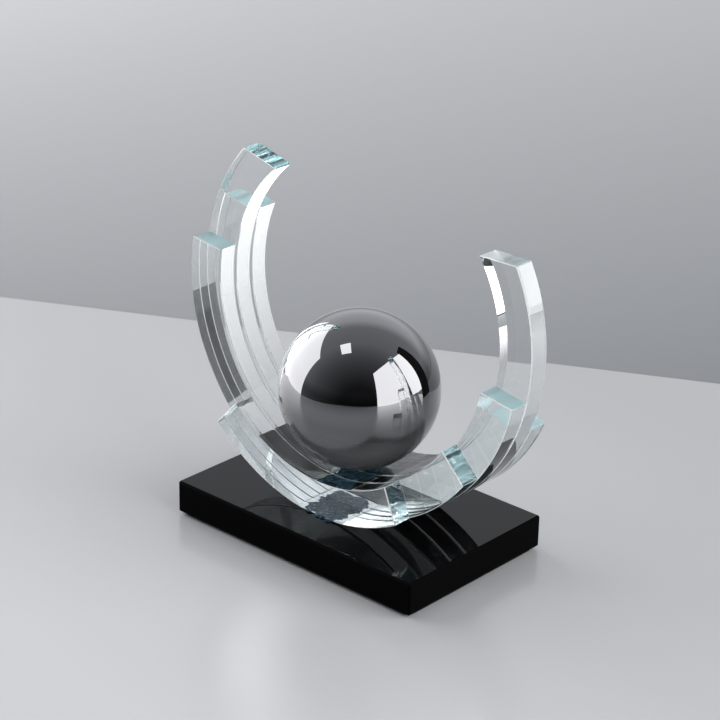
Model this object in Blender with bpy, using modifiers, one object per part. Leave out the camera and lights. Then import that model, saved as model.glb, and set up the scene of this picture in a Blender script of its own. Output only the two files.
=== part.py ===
"""Desk ornament: five clear glass arcs, side by side on a black glass base, cradle a dark mirror ball.

Metres, +Z up. The arcs stand on edge, stacked along Y, and share one centre line above the base.
X is the base's length, the origin is under the middle of the base, on the table.
"""

import bpy
from math import acos, ceil, cos, copysign, pi, radians, sin

# Base block and the pad glued under it
BASE_LENGTH = 0.155
BASE_DEPTH = 0.0985
BASE_THICKNESS = 0.0172
BASE_CHAMFER = 0.0010
PAD_THICKNESS = 0.0010
PAD_INSET = 0.0020
PAD_CORNER_RADIUS = 0.0040

# Glass arcs, all cut to the same two radii from one plate thickness
ARC_INNER_RADIUS = 0.0810
ARC_WIDTH = 0.0190
ARC_THICKNESS = 0.0110
ARC_CHAMFER = 0.0007
FOOT_GRIND_DEPTH = 0.0011

# Each arc from front to rear: its name, then the left and the right end cut. A cut is the angle where it
# meets the inner radius and the angle where it meets the outer one, in degrees anticlockwise from +X, seen
# from the front. The arcs hang below both cuts, so they run from the left cut down and up to the right one.
ARCS = (
    ("arc_front", (225.0, 225.4), (301.3, 299.5)),
    ("arc_second", (168.9, 169.8), (326.0, 323.7)),
    ("arc_middle", (130.6, 137.7), (349.4, 349.6)),
    ("arc_fourth", (155.6, 158.0), (394.9, 387.9)),
    ("arc_rear", (238.0, 238.0), (338.0, 338.0)),
)

# Ball, resting at the bottom of the arcs' inner curve
BALL_DIAMETER = 0.0800
BALL_BOND_DIAMETER = 0.0120
BALL_BOND_THICKNESS = 0.0004

# Clear adhesive film between the ground feet and the base. Its edge wavers in a few broad waves and more
# fine ones: the number of waves round the edge, how far each draws the edge in, and its turn in radians.
FOOT_BOND_THICKNESS = 0.0003
FOOT_BOND_SPREAD = 0.0030
FOOT_BOND_MARGIN = 0.0015
FILM_WAVES = ((3, 0.06, 0.4), (7, 0.04, 1.1))
FILM_SQUARENESS = 0.5

# Gap kept between pieces that touch
CONTACT_GAP = 0.0003

# Facets of the round shapes
ARC_STEP_DEGREES = 4.0
CORNER_STEPS = 6
BALL_SEGMENTS = 40
BALL_RINGS = 20
BOND_SEGMENTS = 24
TROUGH_SEGMENTS = 96
FILM_POINTS = 48
WELD_DISTANCE = 0.00001
FLAT_ANGLE = radians(0.5)
SHARP_ANGLE = radians(40)

# Levels and places that follow from the sizes
LOWEST_DEGREES = 270.0
BASE_BOTTOM = PAD_THICKNESS + CONTACT_GAP
BASE_TOP = BASE_BOTTOM + BASE_THICKNESS
FOOT_BOND_BOTTOM = BASE_TOP + CONTACT_GAP
FOOT_LEVEL = FOOT_BOND_BOTTOM + FOOT_BOND_THICKNESS + CONTACT_GAP
ARC_OUTER_RADIUS = ARC_INNER_RADIUS + ARC_WIDTH
FOOT_HALF_ANGLE = acos((ARC_OUTER_RADIUS - FOOT_GRIND_DEPTH) / ARC_OUTER_RADIUS)
FOOT_HALF_WIDTH = ARC_OUTER_RADIUS * sin(FOOT_HALF_ANGLE)
ARC_CENTRE = FOOT_LEVEL + ARC_OUTER_RADIUS - FOOT_GRIND_DEPTH
ARC_PITCH = ARC_THICKNESS + CONTACT_GAP
STACK_DEPTH = len(ARCS) * ARC_PITCH - CONTACT_GAP
TROUGH_LEVEL = ARC_CENTRE - ARC_INNER_RADIUS
BALL_RADIUS = BALL_DIAMETER / 2
BALL_LIFT = BALL_BOND_THICKNESS + 2 * CONTACT_GAP
BALL_CENTRE = TROUGH_LEVEL + BALL_LIFT + BALL_RADIUS


def linear(hex_colour):
    """Turns an sRGB hex colour to the linear values that a shader takes."""
    channels = [int(hex_colour[i : i + 2], 16) / 255 for i in (0, 2, 4)]
    return [c / 12.92 if c <= 0.04045 else ((c + 0.055) / 1.055) ** 2.4 for c in channels] + [1.0]


def make_material(name, colour, roughness, metallic=0.0, transmission=0.0):
    material = bpy.data.materials.new(name)
    material.use_nodes = True
    shader = material.node_tree.nodes["Principled BSDF"]
    shader.inputs["Base Color"].default_value = linear(colour)
    shader.inputs["Roughness"].default_value = roughness
    shader.inputs["Metallic"].default_value = metallic
    shader.inputs["Transmission Weight"].default_value = transmission
    return material


def make_collection(name):
    collection = bpy.data.collections.new(name)
    bpy.context.scene.collection.children.link(collection)
    return collection


def adopt(obj, name, collection, material=None, parent=None):
    """Names an object, moves it to its collection and gives it its material and its parent."""
    obj.name = name
    for old in list(obj.users_collection):
        old.objects.unlink(obj)
    collection.objects.link(obj)
    obj.parent = parent
    if material:
        obj.data.materials.clear()
        obj.data.materials.append(material)
    return obj


def outline_solid(name, points, thickness):
    """A flat piece: a closed outline in the local XY plane, filled and made thick along local Z."""
    curve = bpy.data.curves.new(name, "CURVE")
    curve.dimensions = "2D"
    curve.fill_mode = "BOTH"
    curve.extrude = thickness / 2
    spline = curve.splines.new("POLY")
    spline.points.add(len(points) - 1)
    for point, (x, y) in zip(spline.points, points):
        point.co = (x, y, 0, 1)
    spline.use_cyclic_u = True
    obj = bpy.data.objects.new(name, curve)
    weld = obj.modifiers.new("Join the caps", "WELD")
    weld.merge_threshold = WELD_DISTANCE
    return obj


def chamfer(obj, width):
    bevel = obj.modifiers.new("Edge chamfer", "BEVEL")
    bevel.width = width
    bevel.segments = 1
    bevel.limit_method = "ANGLE"
    bevel.angle_limit = SHARP_ANGLE


def arc_points(radius, start, end):
    """Points along an arc about the origin from one angle to another, in degrees, both ends included."""
    steps = max(2, ceil(abs(end - start) / ARC_STEP_DEGREES))
    angles = [radians(start + (end - start) * i / steps) for i in range(steps + 1)]
    return [(radius * cos(a), radius * sin(a)) for a in angles]


def arc_outline(left_cut, right_cut):
    """Ring sector with slanted ends and a flat ground across its lowest point."""
    foot_half = FOOT_HALF_ANGLE * 180 / pi
    left_run = arc_points(ARC_OUTER_RADIUS, left_cut[1], LOWEST_DEGREES - foot_half)
    right_run = arc_points(ARC_OUTER_RADIUS, LOWEST_DEGREES + foot_half, right_cut[1])
    inner_run = arc_points(ARC_INNER_RADIUS, right_cut[0], left_cut[0])
    return left_run + right_run + inner_run


def rounded_rectangle(length, depth, radius):
    points = []
    for quarter, (side_x, side_y) in enumerate(((1, 1), (-1, 1), (-1, -1), (1, -1))):
        centre = (side_x * (length / 2 - radius), side_y * (depth / 2 - radius))
        for step in range(CORNER_STEPS + 1):
            angle = (quarter + step / CORNER_STEPS) * pi / 2
            points.append((centre[0] + radius * cos(angle), centre[1] + radius * sin(angle)))
    return points


def film_outline(half_length, half_depth):
    """A squarish pool with a wavering edge, as adhesive spreads when a flat foot is pressed on it."""
    points = []
    for i in range(FILM_POINTS):
        angle = 2 * pi * i / FILM_POINTS
        reach = 1 - sum(share * (1 + sin(waves * angle + turn)) for waves, share, turn in FILM_WAVES)
        x = copysign(abs(cos(angle)) ** FILM_SQUARENESS, cos(angle)) * half_length * reach
        y = copysign(abs(sin(angle)) ** FILM_SQUARENESS, sin(angle)) * half_depth * reach
        points.append((x, y))
    return points


def make_base(parts, root, material):
    bpy.ops.mesh.primitive_cube_add(size=1)
    block = adopt(bpy.context.object, "base_block", parts, material, root)
    block.scale = (BASE_LENGTH, BASE_DEPTH, BASE_THICKNESS)
    bpy.ops.object.transform_apply(location=False, rotation=False, scale=True)
    block.location = (0, 0, BASE_BOTTOM + BASE_THICKNESS / 2)
    chamfer(block, BASE_CHAMFER)


def make_pad(parts, root, material):
    outline = rounded_rectangle(BASE_LENGTH - 2 * PAD_INSET, BASE_DEPTH - 2 * PAD_INSET, PAD_CORNER_RADIUS)
    pad = outline_solid("base_pad", outline, PAD_THICKNESS)
    adopt(pad, "base_pad", parts, material, root)
    pad.location = (0, 0, PAD_THICKNESS / 2)


def make_foot_bond(parts, root, material):
    outline = film_outline(FOOT_HALF_WIDTH + FOOT_BOND_SPREAD, STACK_DEPTH / 2 - FOOT_BOND_MARGIN)
    film = outline_solid("base_adhesive", outline, FOOT_BOND_THICKNESS)
    adopt(film, "base_adhesive", parts, material, root)
    film.location = (0, 0, FOOT_BOND_BOTTOM + FOOT_BOND_THICKNESS / 2)


def make_arcs(parts, root, material):
    for place, (name, left_cut, right_cut) in enumerate(ARCS):
        arc = outline_solid(name, arc_outline(left_cut, right_cut), ARC_THICKNESS)
        flatten = arc.modifiers.new("Whole flat faces", "DECIMATE")
        flatten.decimate_type = "DISSOLVE"
        flatten.angle_limit = FLAT_ANGLE
        chamfer(arc, ARC_CHAMFER)
        adopt(arc, name, parts, material, root)
        arc.rotation_euler = (pi / 2, 0, 0)
        arc.location = (0, (ARC_THICKNESS - STACK_DEPTH) / 2 + place * ARC_PITCH, ARC_CENTRE)


def add_ball(radius):
    bpy.ops.mesh.primitive_uv_sphere_add(segments=BALL_SEGMENTS, ring_count=BALL_RINGS, radius=radius)
    ball = bpy.context.object
    ball.data.shade_smooth()
    ball.location = (0, 0, BALL_CENTRE)
    return ball


def make_ball(parts, root, material):
    adopt(add_ball(BALL_RADIUS), "mirror_ball", parts, material, root)


def make_ball_bond(parts, cutters, root, material):
    """Adhesive dot, dished above to the ball and curved below to the trough that the arcs form."""
    height = 2 * (BALL_LIFT + BALL_BOND_DIAMETER)
    bpy.ops.mesh.primitive_cylinder_add(vertices=BOND_SEGMENTS, radius=BALL_BOND_DIAMETER / 2, depth=height)
    dot = adopt(bpy.context.object, "ball_adhesive", parts, material, root)
    dot.location = (0, 0, TROUGH_LEVEL)

    bpy.ops.mesh.primitive_cylinder_add(
        vertices=TROUGH_SEGMENTS, radius=ARC_INNER_RADIUS - CONTACT_GAP, depth=STACK_DEPTH
    )
    trough = adopt(bpy.context.object, "trough_cutter", cutters)
    trough.rotation_euler = (pi / 2, 0, 0)
    trough.location = (0, 0, ARC_CENTRE)
    dish = adopt(add_ball(BALL_RADIUS + CONTACT_GAP), "ball_cutter", cutters)

    for name, operation, cutter in (("Trough", "INTERSECT", trough), ("Ball", "DIFFERENCE", dish)):
        cutter.hide_render = True
        cutter.display_type = "WIRE"
        cut = dot.modifiers.new(name, "BOOLEAN")
        cut.operation = operation
        cut.object = cutter


def main():
    for old in list(bpy.data.objects):
        bpy.data.objects.remove(old)
    parts = make_collection("glass arc ornament")
    cutters = make_collection("cutters")
    root = adopt(bpy.data.objects.new("ornament", None), "ornament", parts)

    black_glass = make_material("Black glass", "08080A", 0.03)
    clear_glass = make_material("Clear low-iron glass", "E6F4F3", 0.0, transmission=1.0)
    mirror_coat = make_material("Dark mirror coat", "8C8B8A", 0.02, metallic=1.0)
    adhesive = make_material("Cured clear adhesive", "C9D6D6", 0.1, transmission=0.8)
    pad_foam = make_material("Black EVA foam", "141414", 0.9)

    make_base(parts, root, black_glass)
    make_pad(parts, root, pad_foam)
    make_foot_bond(parts, root, adhesive)
    make_arcs(parts, root, clear_glass)
    make_ball(parts, root, mirror_coat)
    make_ball_bond(parts, cutters, root, adhesive)


main()
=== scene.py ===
"""Looks of the glass arc ornament: clear arcs side by side on a black glass base, with a dark mirror ball
in their curve."""

from math import atan2, ceil, cos, hypot, pi, radians, sin

import bmesh
import bpy
from mathutils import Matrix, Vector, noise


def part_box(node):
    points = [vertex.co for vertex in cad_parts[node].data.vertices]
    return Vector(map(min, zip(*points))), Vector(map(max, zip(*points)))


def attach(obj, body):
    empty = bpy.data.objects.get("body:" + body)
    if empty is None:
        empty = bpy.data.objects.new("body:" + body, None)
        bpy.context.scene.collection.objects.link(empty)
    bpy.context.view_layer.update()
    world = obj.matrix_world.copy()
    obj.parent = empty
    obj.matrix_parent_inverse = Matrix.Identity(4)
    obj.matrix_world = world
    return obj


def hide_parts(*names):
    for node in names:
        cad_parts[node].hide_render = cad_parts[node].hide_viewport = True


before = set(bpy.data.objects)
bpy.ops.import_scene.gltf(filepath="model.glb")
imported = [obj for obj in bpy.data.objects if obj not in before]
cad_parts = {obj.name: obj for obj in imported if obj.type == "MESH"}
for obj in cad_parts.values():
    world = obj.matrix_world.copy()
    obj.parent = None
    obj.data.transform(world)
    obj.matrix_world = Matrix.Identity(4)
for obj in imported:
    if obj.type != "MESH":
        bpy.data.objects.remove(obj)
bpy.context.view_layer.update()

# The photograph's view: 720 by 720, its aim on the axis of the ornament
LENS = 120.35
SENSOR = 36.0
VIEW_AZIMUTH = radians(41.594)
VIEW_ELEVATION = radians(23.648)
VIEW_ROLL = radians(1.248)
VIEW_DISTANCE = 1.1698
VIEW_AIM = Vector((-0.0002, 0.0, 0.0934))

# The ring that all arcs are cut from. Each plate takes up a share of the CAD's gap to the next one. Its cells
# are steps in degrees, longer at the ends to hold their chamfers
INNER_RADIUS = 0.0810
OUTER_RADIUS = 0.1000
FOOT_GRIND = 0.0011
FOOT_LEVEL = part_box("arc_front")[0].z
RING_CENTRE = FOOT_LEVEL + OUTER_RADIUS - FOOT_GRIND
ARC_CHAMFER = 0.00038
INNER_CHAMFER = 0.00012
GAP_SHARE = 0.00011
ARC_STEP = 0.3
END_STEP = 1.2

# For each arc the left and the right end cut, as the angles where the cut meets the inner and the outer
# radius, in degrees anticlockwise from +X seen from the front
ARCS = (
    ("arc_front", (225.0, 225.4), (301.3, 299.5)),
    ("arc_second", (168.9, 169.8), (326.0, 323.7)),
    ("arc_middle", (130.6, 137.7), (349.4, 349.6)),
    ("arc_fourth", (155.6, 158.0), (394.9, 387.9)),
    ("arc_rear", (238.0, 238.0), (338.0, 338.0)),
)

# Finishes of the glass, as roughness and clearness. Ends are ground satin, apart from the finer ones
POLISHED = (0.0, 1.0)
LAPPED = (0.10, 0.95)
SMOOTHED = (0.18, 0.88)
GROUND_END = (0.30, 0.78)
GROUND_CHAMFER = (0.15, 0.15)
FINER_ENDS = {
    ("arc_front", "right"): POLISHED,
    ("arc_second", "right"): LAPPED,
    ("arc_middle", "left"): POLISHED,
    ("arc_fourth", "right"): SMOOTHED,
}

# The adhesive film: half its size, the sizes of its rags, how far it bites into the ground feet, the size of
# its clouds and their shades from the darkest
FILM_HALF_WIDTH = 0.0118
FILM_HALF_DEPTH = 0.0272
FILM_SQUARENESS = 5.0
FILM_RAGS = (0.0040, 0.0016, 0.0007)
RAG_PACE = 0.7
RAG_DRIFT = 40
FILM_POINTS = 360
FILM_BITE = 0.00002
FILM_CLOUD = 0.0024
FILM_SHADES = ((0.44, "05090C"), (0.57, "56839C"), (0.68, "C4DCE8"))

# The base: its chamfer, the fine arris on the chamfer's edges, and the sizes of the smears on its top, of the
# wheel marks on its sides and of the grain of its foam pad
BASE_CHAMFER = 0.0010
BASE_ARRIS = 0.00012
TOP_SMEAR = 0.020
WHEEL_MARK = 0.0012
FOAM_GRAIN = 0.0008

# The ball's mirror film thins out between two heights, down to a grey bloom left by the adhesive at its foot,
# and its gloss dulls between two others
BALL_CUTS = 63
BLOOM_FULL = 0.060
BLOOM_TOP = 0.0725
DULL_FULL = 0.074
DULL_TOP = 0.082

# The table and the lower grey ground behind it. The table's rear edge is turned about the vertical and set
# back from the ornament's middle. Each has painted shading, from one colour to the other over a reach along a
# slant: the table lighter at the left front and darker at the right back, the ground darker near the table
# and to the right, and lighter far off and to the left
TABLE_TURN = radians(27.5)
TABLE_EDGE = 0.235
TABLE_RISE = 0.03
TABLE_LEFT = -0.75
TABLE_SIZE = (5.0, 4.0)
TABLE_PAINTED_SHADING = ("C6C7C9", "AAABAD")
TABLE_SHADING_SLANT = 0.9
TABLE_SHADING_REACH = (-0.25, 0.3)
GROUND_LEFT = -0.66
GROUND_SIZE = (8.0, 12.0)
GROUND_PAINTED_SHADING = ("7C7F82", "C6C7CA")
GROUND_SHADING_SLANT = -0.35
GROUND_SHADING_REACH = (0.1, 1.2)

# Two windows, as azimuth from the front towards the right in degrees, height of the foot, width, height and
# radiance, and a small panel overhead
WINDOW_DISTANCE = 2.0
WINDOWS = (
    ("Left window", -78, -0.4, 2.5, 2.4, 3.0),
    ("Right window", 103, 0.0, 3.0, 2.4, 3.6),
)
PANEL_PLACE = (-0.30, -0.58, 1.97)
PANEL_SIZE = (0.45, 0.55)
PANEL_RADIANCE = 3.4

# A black flag behind at the right
FLAG_SIZE = (0.125, 0.56)
FLAG_PLACE = (0.2725, 0.3585, 0.28)
FLAG_TURN = radians(132)

# The room's brightness from the side away from the camera, -1, to the camera's own side, 1, its faint blue
# tint, and how it dims towards the floor, between two heights of the unit direction
ROOM_SHADES = (
    (-1.0, 0.92), (-0.7, 0.92), (-0.5, 0.50), (0.0, 0.42), (0.2, 0.30), (0.4, 0.20), (0.6, 0.13), (0.9, 0.03)
)
ROOM_TINT = (0.97, 0.99, 1.04)
DIM_HEIGHT = 0.05
LIT_HEIGHT = 0.25
DIM_SHARE = 0.47

# Light runs along a plate by dozens of inner reflections before it leaves at an end
MOST_REFLECTIONS = 96
MOST_PASSES = 48

# Limits that tell edges, faces and places apart
FLAT_LIMIT = radians(5)
SHARP_LIMIT = radians(30)
SQUARE_LIMIT = radians(60)
SAME_WAY = 0.999
NEARLY_LEVEL = 0.99
SLANTED = (0.1, 0.9)
SAME_PLACE = 0.00001
MERGE_REACH = 0.000001


# Materials

def linear(hex_colour):
    """Turns an sRGB hex colour to the linear values that a shader takes."""
    channels = [int(hex_colour[i : i + 2], 16) / 255 for i in (0, 2, 4)]
    return [c / 12.92 if c <= 0.04045 else ((c + 0.055) / 1.055) ** 2.4 for c in channels] + [1.0]


def add_node(tree, kind, settings=None, **inputs):
    """Adds a node. settings are its own properties, and each input is a value or an output to link from. An
    input is named with _ for a space, or by _ and its number."""
    node = tree.nodes.new("ShaderNode" + kind)
    for name, value in (settings or {}).items():
        setattr(node, name, value)
    for name, value in inputs.items():
        key = int(name[1:]) if name[0] == "_" else name.replace("_", " ")
        if isinstance(value, bpy.types.NodeSocket):
            tree.links.new(value, node.inputs[key])
        else:
            node.inputs[key].default_value = value
    return node


def shade_ramp(ramp, stops):
    """Gives a colour ramp its stops, each a place from 0 to 1 and a linear colour."""
    while len(ramp.elements) < len(stops):
        ramp.elements.new(0.5)
    for element, (place, colour) in zip(ramp.elements, stops):
        element.position = place
        element.color = colour


def new_material(name):
    material = bpy.data.materials.new(name)
    material.use_nodes = True
    material.node_tree.nodes.clear()
    return material, material.node_tree


def clear_glass():
    """Low-iron plate glass: polished faces, colourless across a plate, and fine-ground ends and chamfers,
    where light that ran along the plate comes out pale aqua. Each face carries its own roughness and
    clearness, and from inside every face lets light out."""
    material, tree = new_material("Low-iron plate glass, polished with ground ends")
    grinding = add_node(tree, "Attribute", {"attribute_name": "grinding"})
    clearness = add_node(tree, "Attribute", {"attribute_name": "clearness"})
    inside = add_node(tree, "NewGeometry")
    clear = add_node(
        tree, "Math", {"operation": "MAXIMUM"}, _0=clearness.outputs["Fac"], _1=inside.outputs["Backfacing"]
    )
    shade = add_node(tree, "ValToRGB", Fac=grinding.outputs["Fac"])
    shade_ramp(shade.color_ramp, ((GROUND_CHAMFER[0], linear("FFFFFF")), (GROUND_END[0], linear("E2F5F7"))))
    glass = add_node(
        tree,
        "BsdfPrincipled",
        Base_Color=shade.outputs["Color"],
        Roughness=grinding.outputs["Fac"],
        IOR=1.52,
        Transmission_Weight=clear.outputs[0],
    )
    tint = add_node(tree, "VolumeAbsorption", Color=linear("A0EDF2"), Density=2.6)
    add_node(tree, "OutputMaterial", Surface=glass.outputs[0], Volume=tint.outputs[0])
    return material


def black_glass_top():
    """Opaque black glass, flat polished: a dark mirror, brighter at a shallow angle, with faint smears."""
    material, tree = new_material("Black glass, flat polished")
    coords = add_node(tree, "TexCoord")
    smear = add_node(tree, "TexNoise", Vector=coords.outputs["Object"], Scale=1 / TOP_SMEAR, Detail=4.0)
    rough = add_node(
        tree, "MapRange", Value=smear.outputs["Fac"], From_Min=0.35, From_Max=0.75, To_Min=0.012, To_Max=0.035
    )
    glass = add_node(
        tree, "BsdfPrincipled", Base_Color=linear("050506"), Roughness=rough.outputs[0], IOR=1.25
    )
    add_node(tree, "OutputMaterial", Surface=glass.outputs[0])
    return material


def black_glass_side():
    """Black glass, edge ground fine and lacquered: nearly lightless, with the faint tooth of the wheel."""
    material, tree = new_material("Black glass, ground and lacquered edge")
    coords = add_node(tree, "TexCoord")
    tooth = add_node(tree, "TexNoise", Vector=coords.outputs["Object"], Scale=1 / WHEEL_MARK, Detail=5.0)
    shade = add_node(tree, "ValToRGB", Fac=tooth.outputs["Fac"])
    shade_ramp(shade.color_ramp, ((0.3, linear("020202")), (0.8, linear("060607"))))
    edge = add_node(
        tree, "BsdfPrincipled", Base_Color=shade.outputs["Color"], Roughness=0.45, Specular_IOR_Level=0.015
    )
    add_node(tree, "OutputMaterial", Surface=edge.outputs[0])
    return material


def mirror_coat():
    """Dark metal film on a polished glass ball, with a clear topcoat: a dim mirror with a bright rim. Low
    down, a grey bloom from the curing adhesive dulls it."""
    material, tree = new_material("Dark mirror film on a glass ball")
    coords = add_node(tree, "TexCoord")
    height = add_node(tree, "SeparateXYZ", Vector=coords.outputs["Object"]).outputs["Z"]
    film = add_node(
        tree, "MapRange", Value=height, From_Min=BLOOM_FULL, From_Max=BLOOM_TOP, To_Min=0.25, To_Max=1.0
    )
    blur = add_node(
        tree, "MapRange", Value=height, From_Min=DULL_FULL, From_Max=DULL_TOP, To_Min=0.24, To_Max=0.01
    )
    gloss = add_node(
        tree, "MapRange", Value=height, From_Min=DULL_FULL, From_Max=DULL_TOP, To_Min=0.35, To_Max=1.0
    )
    coat = add_node(
        tree,
        "BsdfPrincipled",
        Base_Color=linear("6E6E70"),
        Metallic=film.outputs[0],
        Roughness=blur.outputs[0],
        Coat_Weight=gloss.outputs[0],
        Coat_IOR=1.75,
        Coat_Roughness=0.0,
    )
    add_node(tree, "OutputMaterial", Surface=coat.outputs[0])
    return material


def pad_foam():
    """Black EVA foam sheet: matt, with a fine skin grain."""
    material, tree = new_material("Black EVA foam sheet")
    coords = add_node(tree, "TexCoord")
    grain = add_node(tree, "TexNoise", Vector=coords.outputs["Object"], Scale=1 / FOAM_GRAIN, Detail=3.0)
    bump = add_node(tree, "Bump", Strength=0.4, Distance=0.0002, Height=grain.outputs["Fac"])
    foam = add_node(
        tree, "BsdfPrincipled", Base_Color=linear("131314"), Roughness=0.85, Normal=bump.outputs[0]
    )
    add_node(tree, "OutputMaterial", Surface=foam.outputs[0])
    return material


def cured_adhesive():
    """Cured clear adhesive on black glass: a dark film, uneven and full of tiny bubbles, that turns slate at
    a shallow angle."""
    material, tree = new_material("Cured clear adhesive on black")
    coords = add_node(tree, "TexCoord")
    cloud = add_node(
        tree, "TexNoise", Vector=coords.outputs["Object"], Scale=1 / FILM_CLOUD, Detail=10.0, Roughness=0.65
    )
    shade = add_node(tree, "ValToRGB", Fac=cloud.outputs["Fac"])
    shade_ramp(shade.color_ramp, [(place, linear(colour)) for place, colour in FILM_SHADES])
    bump = add_node(tree, "Bump", Strength=0.4, Distance=0.0004, Height=cloud.outputs["Fac"])
    film = add_node(
        tree,
        "BsdfPrincipled",
        Base_Color=shade.outputs["Color"],
        Roughness=0.25,
        Specular_IOR_Level=0.08,
        Sheen_Weight=0.45,
        Sheen_Roughness=0.3,
        Sheen_Tint=linear("5FB0D8"),
        Normal=bump.outputs[0],
    )
    add_node(tree, "OutputMaterial", Surface=film.outputs[0])
    return material


# Modelling

def start_mesh(add, **size):
    """Adds a primitive, alone selected, with its place and size in its mesh, and opens it for editing."""
    bpy.ops.object.select_all(action="DESELECT")
    add(**size)
    piece = bpy.context.object
    bpy.ops.object.transform_apply(location=True, rotation=True, scale=True)
    bpy.ops.object.mode_set(mode="EDIT")
    return piece


def finish_mesh(piece, name, materials, node):
    """Closes the editing, names the piece and ties it to the frame, in place of a CAD node."""
    bpy.ops.mesh.select_all(action="SELECT")
    bpy.ops.mesh.remove_doubles(threshold=MERGE_REACH)
    bpy.ops.mesh.normals_make_consistent(inside=False)
    bpy.ops.object.mode_set(mode="OBJECT")
    bpy.ops.object.shade_smooth_by_angle(angle=FLAT_LIMIT)
    piece.name = name
    piece.data.name = name
    for material in materials:
        piece.data.materials.append(material)
    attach(piece, "root")
    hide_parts(node)


def ring_point(radius, degrees, y):
    angle = radians(degrees)
    return Vector((radius * cos(angle), y, RING_CENTRE + radius * sin(angle)))


def on_inner_curve(point):
    return abs(hypot(point.x, point.z - RING_CENTRE) - INNER_RADIUS) < SAME_PLACE


def bevel_edges(width, sharpness, keep_square=None):
    """Bevels the edges that are sharper than an angle, apart from those that keep_square says yes to."""
    bpy.ops.mesh.select_mode(type="EDGE")
    bpy.ops.mesh.select_all(action="DESELECT")
    bpy.ops.mesh.edges_select_sharp(sharpness=sharpness)
    if keep_square:
        data = bpy.context.object.data
        for edge in bmesh.from_edit_mesh(data).edges:
            if keep_square(*(vertex.co for vertex in edge.verts)):
                edge.select_set(False)
        bmesh.update_edit_mesh(data)
    bpy.ops.mesh.bevel(offset=width, segments=1, affect="EDGES")


def long_inner_edge(first, last):
    along = abs(first.y - last.y) <= SAME_PLACE
    return along and on_inner_curve(first) and on_inner_curve(last)


def grind_foot(arc):
    """Cuts the arc flat at the foot level, after its chamfers, so that the foot's edges stay square."""
    mesh = bmesh.from_edit_mesh(arc.data)
    bpy.ops.mesh.select_mode(type="FACE")
    bpy.ops.mesh.select_all(action="DESELECT")
    for face in mesh.faces:
        face.select_set(min(vertex.co.z for vertex in face.verts) < FOOT_LEVEL)
    bmesh.update_edit_mesh(arc.data)
    bpy.ops.mesh.bisect(
        plane_co=(0, 0, FOOT_LEVEL), plane_no=(0, 0, -1), use_fill=True, clear_outer=True
    )


def mark_finishes(arc, name):
    """Writes on each face how rough and how clear it is: plate faces, curves and the foot are polished."""
    rough = arc.data.attributes.new("grinding", "FLOAT", "FACE")
    clear = arc.data.attributes.new("clearness", "FLOAT", "FACE")
    for face in arc.data.polygons:
        out = (face.center - Vector((0, face.center.y, RING_CENTRE))).normalized()
        square = max(abs(face.normal.dot(out)), abs(face.normal.y), -face.normal.z) > SAME_WAY
        chamfer = SLANTED[0] < abs(face.normal.y) < SLANTED[1]
        end = FINER_ENDS.get((name, "right" if face.center.x > 0 else "left"), GROUND_END)
        finish = GROUND_CHAMFER if chamfer else POLISHED if square else end
        rough.data[face.index].value = finish[0]
        clear.data[face.index].value = finish[1]


def make_arc(name, left_cut, right_cut, material):
    """A strip of cells, bent along the arc with both ends slanted, drawn out to the plate's thickness,
    chamfered and ground flat at the foot."""
    low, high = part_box(name)
    front, rear = low.y - GAP_SHARE, high.y + GAP_SHARE
    cells = ceil((max(right_cut) - min(left_cut)) / ARC_STEP)
    arc = start_mesh(bpy.ops.mesh.primitive_grid_add, size=1, x_subdivisions=cells, y_subdivisions=1)
    mesh = bmesh.from_edit_mesh(arc.data)
    for vertex in mesh.verts:
        column = round((vertex.co.x + 0.5) * cells)
        outer = vertex.co.y > 0
        span = right_cut[outer] - left_cut[outer]
        along = END_STEP + (column - 1) / (cells - 2) * (span - 2 * END_STEP)
        along = 0 if column == 0 else span if column == cells else along
        vertex.co = ring_point(OUTER_RADIUS if outer else INNER_RADIUS, left_cut[outer] + along, front)
    bmesh.update_edit_mesh(arc.data)
    bpy.ops.mesh.select_all(action="SELECT")
    bpy.ops.mesh.extrude_region_move(TRANSFORM_OT_translate={"value": (0, rear - front, 0)})
    bpy.ops.mesh.select_all(action="SELECT")
    bpy.ops.mesh.normals_make_consistent(inside=False)

    # Flat fine-ground chamfers on every edge, smaller on the two long edges of the inner curve
    bevel_edges(ARC_CHAMFER, SHARP_LIMIT, long_inner_edge)
    bevel_edges(INNER_CHAMFER, SQUARE_LIMIT)
    grind_foot(arc)
    finish_mesh(arc, "glass_" + name, [material], name)
    mark_finishes(arc, name)


def make_film(material):
    """The adhesive under the feet, squeezed to a ragged sheet that wets the glass above and the base."""
    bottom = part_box("base_block")[1].z
    film = start_mesh(bpy.ops.mesh.primitive_circle_add, vertices=FILM_POINTS, fill_type="NGON")
    mesh = bmesh.from_edit_mesh(film.data)
    for vertex in mesh.verts:
        angle = atan2(vertex.co.y, vertex.co.x)
        round_sum = abs(cos(angle)) ** FILM_SQUARENESS + abs(sin(angle)) ** FILM_SQUARENESS
        square = round_sum ** (-1 / FILM_SQUARENESS)
        edge = Vector((FILM_HALF_WIDTH * cos(angle), FILM_HALF_DEPTH * sin(angle), 0)) * square
        ragged = sum(
            size * noise.noise(edge / size * RAG_PACE + Vector((0, 0, RAG_DRIFT * size)))
            for size in FILM_RAGS
        )
        vertex.co = edge + edge.normalized() * ragged
        vertex.co.z = bottom
    bmesh.update_edit_mesh(film.data)
    bpy.ops.mesh.select_all(action="SELECT")
    bpy.ops.mesh.extrude_region_move(
        TRANSFORM_OT_translate={"value": (0, 0, FOOT_LEVEL + FILM_BITE - bottom)}
    )
    finish_mesh(film, "foot_adhesive_film", [material], "base_adhesive")


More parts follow.
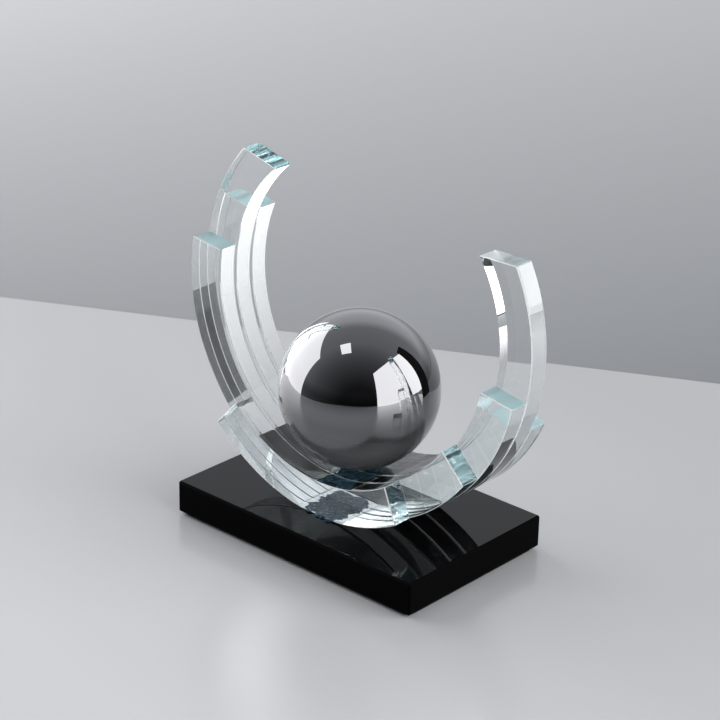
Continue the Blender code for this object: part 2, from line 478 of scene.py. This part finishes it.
def make_base(top, side):
    """A block with flat chamfers, whose own edges have a fine rounded arris."""
    low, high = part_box("base_block")
    base = start_mesh(bpy.ops.mesh.primitive_cube_add, size=1, location=(low + high) / 2)
    bpy.ops.transform.resize(value=high - low)
    bpy.ops.mesh.select_mode(type="EDGE")
    bpy.ops.mesh.select_all(action="SELECT")
    bpy.ops.mesh.bevel(offset=BASE_CHAMFER, segments=1, affect="EDGES")
    bpy.ops.mesh.select_all(action="DESELECT")
    bpy.ops.mesh.edges_select_sharp(sharpness=SHARP_LIMIT)
    bpy.ops.mesh.bevel(offset=BASE_ARRIS, segments=2, affect="EDGES")
    finish_mesh(base, "black_glass_block", [top, side], "base_block")
    for face in base.data.polygons:
        face.material_index = 0 if face.normal.z > NEARLY_LEVEL else 1


def make_ball(material):
    """A cube cut fine and pushed out to a sphere, so that no pole shows in the mirror."""
    low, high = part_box("mirror_ball")
    centre = (low + high) / 2
    radius = (high.z - low.z) / 2
    ball = start_mesh(bpy.ops.mesh.primitive_cube_add, size=2 * radius, location=centre)
    bpy.ops.mesh.subdivide(number_cuts=BALL_CUTS)
    mesh = bmesh.from_edit_mesh(ball.data)
    for vertex in mesh.verts:
        vertex.co = centre + (vertex.co - centre).normalized() * radius
    bmesh.update_edit_mesh(ball.data)
    finish_mesh(ball, "mirror_ball_coated", [material], "mirror_ball")


def dress_nodes(adhesive, foam):
    """Gives the CAD nodes that stay, the ball's dot of adhesive and the pad, their materials."""
    for name, material in (("ball_adhesive", adhesive), ("base_pad", foam)):
        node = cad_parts[name]
        node.data.materials.clear()
        node.data.materials.append(material)


# Setting

def place_camera():
    flat = cos(VIEW_ELEVATION)
    back = Vector((sin(VIEW_AZIMUTH) * flat, -cos(VIEW_AZIMUTH) * flat, sin(VIEW_ELEVATION)))
    level = Vector((cos(VIEW_AZIMUTH), sin(VIEW_AZIMUTH), 0))
    upright = back.cross(level)
    right = level * cos(VIEW_ROLL) + upright * sin(VIEW_ROLL)
    up = upright * cos(VIEW_ROLL) - level * sin(VIEW_ROLL)
    data = bpy.data.cameras.new("Photograph")
    data.lens = LENS
    data.sensor_width = SENSOR
    camera = bpy.data.objects.new("Photograph", data)
    bpy.context.scene.collection.objects.link(camera)
    turn = Matrix((right, up, back)).transposed().to_4x4()
    camera.matrix_world = Matrix.Translation(VIEW_AIM + back * VIEW_DISTANCE) @ turn
    bpy.context.scene.camera = camera


def light_room():
    """The room around: bright behind the ornament, dark behind the camera, dimmer near the floor."""
    world = bpy.data.worlds.new("Studio")
    world.use_nodes = True
    tree = world.node_tree
    tree.nodes.clear()
    direction = add_node(tree, "TexCoord").outputs["Generated"]
    dark_side = (sin(VIEW_AZIMUTH), -cos(VIEW_AZIMUTH), 0)
    towards = add_node(tree, "VectorMath", {"operation": "DOT_PRODUCT"}, _0=direction, _1=dark_side)
    share = add_node(tree, "MapRange", Value=towards.outputs["Value"], From_Min=-1.0, From_Max=1.0)
    shade = add_node(tree, "ValToRGB", Fac=share.outputs[0])
    stops = [((side + 1) / 2, [level * tint for tint in ROOM_TINT] + [1]) for side, level in ROOM_SHADES]
    shade_ramp(shade.color_ramp, stops)
    height = add_node(tree, "SeparateXYZ", Vector=direction).outputs["Z"]
    rise = add_node(
        tree, "MapRange", Value=height, From_Min=DIM_HEIGHT, From_Max=LIT_HEIGHT, To_Min=DIM_SHARE, To_Max=1.0
    )
    sky = add_node(tree, "Background", Color=shade.outputs["Color"], Strength=rise.outputs[0])
    add_node(tree, "OutputWorld", Surface=sky.outputs[0])
    bpy.context.scene.world = world


def softbox(name, place, rotation, width, height, radiance):
    """A soft light that lights the scene and shows in gloss and glass, but not to the camera."""
    data = bpy.data.lights.new(name, "AREA")
    data.shape = "RECTANGLE"
    data.size = width
    data.size_y = height
    data.energy = radiance * pi * width * height
    light = bpy.data.objects.new(name, data)
    bpy.context.scene.collection.objects.link(light)
    light.location = place
    light.rotation_euler = rotation
    light.visible_camera = False


def hang_lights():
    """The windows, each an upright soft light, and the panel overhead, square to the camera."""
    for name, degrees, foot, width, height, radiance in WINDOWS:
        azimuth = radians(degrees)
        place = Vector((sin(azimuth), -cos(azimuth), 0)) * WINDOW_DISTANCE
        place.z = foot + height / 2
        softbox(name, place, (pi / 2, 0, azimuth), width, height, radiance)
    softbox("Ceiling panel", PANEL_PLACE, (0, 0, VIEW_AZIMUTH), *PANEL_SIZE, PANEL_RADIANCE)


def plain_surface(name, roughness, shades, direction=(1, 0, 0), reach=(0, 1)):
    """A paint that shades from one colour to the other along a direction, over a reach in metres. On the
    table and the backdrop this is painted shading; the flag's two colours are the same.
    """
    material, tree = new_material(name)
    coords = add_node(tree, "TexCoord")
    along = add_node(
        tree, "VectorMath", {"operation": "DOT_PRODUCT"}, _0=coords.outputs["Object"], _1=direction
    )
    share = add_node(tree, "MapRange", Value=along.outputs["Value"], From_Min=reach[0], From_Max=reach[1])
    ramp = add_node(tree, "ValToRGB", Fac=share.outputs[0])
    shade_ramp(ramp.color_ramp, [(place, linear(colour)) for place, colour in enumerate(shades)])
    paint = add_node(tree, "BsdfPrincipled", Base_Color=ramp.outputs["Color"], Roughness=roughness)
    add_node(tree, "OutputMaterial", Surface=paint.outputs[0])
    return material


def stage_plane(name, material, size, location, rotation):
    bpy.ops.object.select_all(action="DESELECT")
    bpy.ops.mesh.primitive_plane_add(size=1, location=location, rotation=rotation)
    plane = bpy.context.object
    plane.name = name
    bpy.ops.transform.resize(value=(*size, 1), orient_type="LOCAL")
    bpy.ops.object.transform_apply(location=True, rotation=True, scale=True)
    plane.data.materials.append(material)
    return plane


def set_stage():
    rightwards = Vector((cos(VIEW_AZIMUTH), sin(VIEW_AZIMUTH), 0))
    away = Vector((-sin(VIEW_AZIMUTH), cos(VIEW_AZIMUTH), 0))
    turn = Matrix.Rotation(TABLE_TURN, 3, "Z")

    # Painted shading: the table top is lighter at the left front and darker at the right back, in place of
    # the fall of light
    table = plain_surface("Pale table top with painted shading", 0.22, TABLE_PAINTED_SHADING, rightwards + away * TABLE_SHADING_SLANT, TABLE_SHADING_REACH)
    middle = Vector((TABLE_LEFT + TABLE_SIZE[0] / 2, TABLE_EDGE - TABLE_SIZE[1] / 2, 0))
    stage_plane("table_top", table, TABLE_SIZE, turn @ middle, (0, 0, TABLE_TURN))

    # Painted shading: the backdrop is darker near the table's edge and to the right, and lighter far off and
    # to the left, in place of the fall of light
    wall = plain_surface("Grey backdrop with painted shading", 0.9, GROUND_PAINTED_SHADING, away + rightwards * GROUND_SHADING_SLANT, GROUND_SHADING_REACH)
    middle = Vector((GROUND_LEFT + GROUND_SIZE[0] / 2, 0, -TABLE_RISE))
    stage_plane("backdrop_ground", wall, GROUND_SIZE, turn @ middle, (0, 0, TABLE_TURN))

    # The flag gives the glass and the ball their dark edges. The camera doesn't see it or a shadow of it
    black = plain_surface("Black flag cloth", 0.9, ("101010", "101010"))
    flag = stage_plane("dark_flag", black, FLAG_SIZE, FLAG_PLACE, (pi / 2, 0, FLAG_TURN))
    flag.visible_camera = False
    flag.visible_diffuse = False
    flag.visible_shadow = False


place_camera()
glass = clear_glass()
for arc_name, left, right in ARCS:
    make_arc(arc_name, left, right, glass)
adhesive = cured_adhesive()
make_film(adhesive)
make_base(black_glass_top(), black_glass_side())
make_ball(mirror_coat())
dress_nodes(adhesive, pad_foam())
light_room()
hang_lights()
set_stage()

scene = bpy.context.scene
scene.view_settings.view_transform = "Standard"
scene.cycles.max_bounces = MOST_REFLECTIONS
scene.cycles.glossy_bounces = MOST_REFLECTIONS
scene.cycles.transmission_bounces = MOST_PASSES
